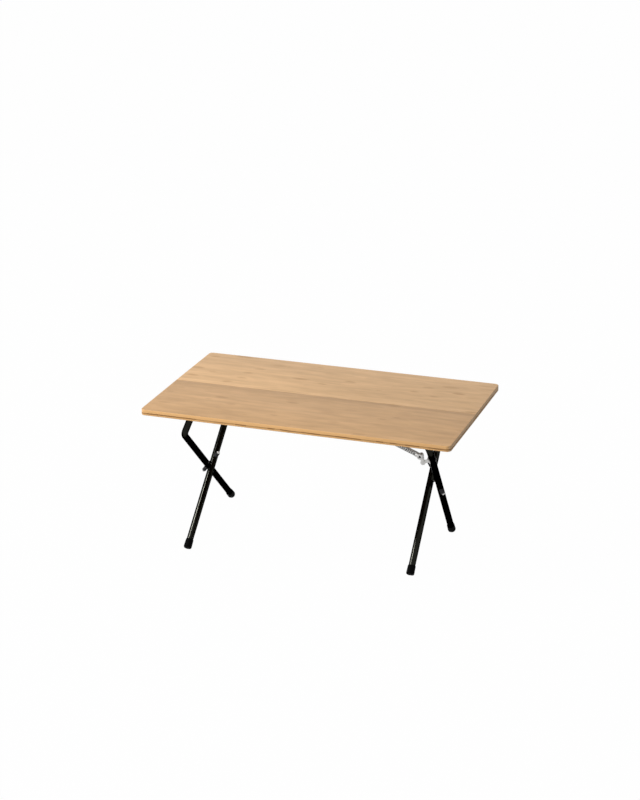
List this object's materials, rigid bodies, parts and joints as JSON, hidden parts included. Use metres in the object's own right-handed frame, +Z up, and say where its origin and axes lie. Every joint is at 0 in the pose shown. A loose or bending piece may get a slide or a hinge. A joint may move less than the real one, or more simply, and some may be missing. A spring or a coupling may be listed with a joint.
{
  "type": "folding camping table",
  "caption": "Low folding camping table with a bamboo top on crossed black tube frames that fold in under it, each held open by a spring stay.",
  "frame": {"origin": "on the floor under the centre of the top", "axes": "+X along the top's length towards the narrow frame, +Y to the back, +Z up"},
  "size_m": [0.83, 0.49, 0.4035],
  "materials": {
    "bamboo": "satin lacquer over strip bamboo",
    "black_tube": "satin black powder coat",
    "black_cap": "matt black",
    "grey_rubber": "matt dark grey",
    "bright_steel": "bright zinc plate",
    "dark_steel": "black zinc plate"
  },
  "bodies": {
    "top": {"front_board": "bamboo", "back_board": "bamboo", "centre_spline": "bamboo", "left_hinge_plate": "bright_steel", "left_front_hinge_ear": "bright_steel", "left_rear_hinge_ear": "bright_steel", "left_guide_rail": "bright_steel", "left_plate_screw_1": "dark_steel", "left_plate_screw_2": "dark_steel", "left_plate_screw_3": "dark_steel", "left_plate_screw_4": "dark_steel", "left_rail_screw_1": "dark_steel", "left_rail_screw_2": "dark_steel", "right_hinge_plate": "bright_steel", "right_front_hinge_ear": "bright_steel", "right_rear_hinge_ear": "bright_steel", "right_guide_rail": "bright_steel", "right_plate_screw_1": "dark_steel", "right_plate_screw_2": "dark_steel", "right_plate_screw_3": "dark_steel", "right_plate_screw_4": "dark_steel", "right_rail_screw_1": "dark_steel", "right_rail_screw_2": "dark_steel"},
    "left_frame": {"left_outer_leg": "black_tube", "left_inner_leg": "black_tube", "left_outer_foot_cap": "black_cap", "left_inner_foot_cap": "black_cap", "left_pivot_rod": "bright_steel", "left_cross_pin": "dark_steel", "left_cross_spacer": "dark_steel", "left_outer_buffer": "grey_rubber", "left_outer_buffer_screw": "bright_steel", "left_inner_buffer": "grey_rubber", "left_inner_buffer_screw": "bright_steel", "left_stay_bracket": "bright_steel", "left_bracket_bolt": "dark_steel", "left_stay_pin": "dark_steel"},
    "left_stay": {"left_stay_arm": "bright_steel", "left_stay_spring": "bright_steel", "left_slider_pin": "bright_steel"},
    "right_frame": {"right_outer_leg": "black_tube", "right_inner_leg": "black_tube", "right_outer_foot_cap": "black_cap", "right_inner_foot_cap": "black_cap", "right_pivot_rod": "bright_steel", "right_cross_pin": "dark_steel", "right_cross_spacer": "dark_steel", "right_outer_buffer": "grey_rubber", "right_outer_buffer_screw": "bright_steel", "right_inner_buffer": "grey_rubber", "right_inner_buffer_screw": "bright_steel", "right_stay_bracket": "bright_steel", "right_bracket_bolt": "dark_steel", "right_stay_pin": "dark_steel"},
    "right_stay": {"right_stay_arm": "bright_steel", "right_stay_spring": "bright_steel", "right_slider_pin": "bright_steel"}
  },
  "joints": [
    {"name": "left_frame_fold", "type": "hinge", "parent": "top", "child": "left_frame", "pos_m": [-0.3206, 0, 0.345], "axis": [0, -1, 0], "range_deg": [0, 90]},
    {"name": "right_frame_fold", "type": "hinge", "parent": "top", "child": "right_frame", "pos_m": [0.3015, 0, 0.345], "axis": [0, 1, 0], "range_deg": [0, 80]},
    {"name": "left_stay_swing", "type": "hinge", "parent": "left_frame", "child": "left_stay", "pos_m": [-0.2955, 0.1315, 0.297], "axis": [0, 1, 0], "range_deg": [0, 110.5]},
    {"name": "right_stay_swing", "type": "hinge", "parent": "right_frame", "child": "right_stay", "pos_m": [0.2885, -0.0685, 0.297], "axis": [0, -1, 0], "range_deg": [0, 95]}
  ],
  "couplings": [
    {"joint": "left_stay_swing", "follows": "left_frame_fold", "ratio": 1.2258},
    {"joint": "right_stay_swing", "follows": "right_frame_fold", "ratio": 1.1841}
  ]
}
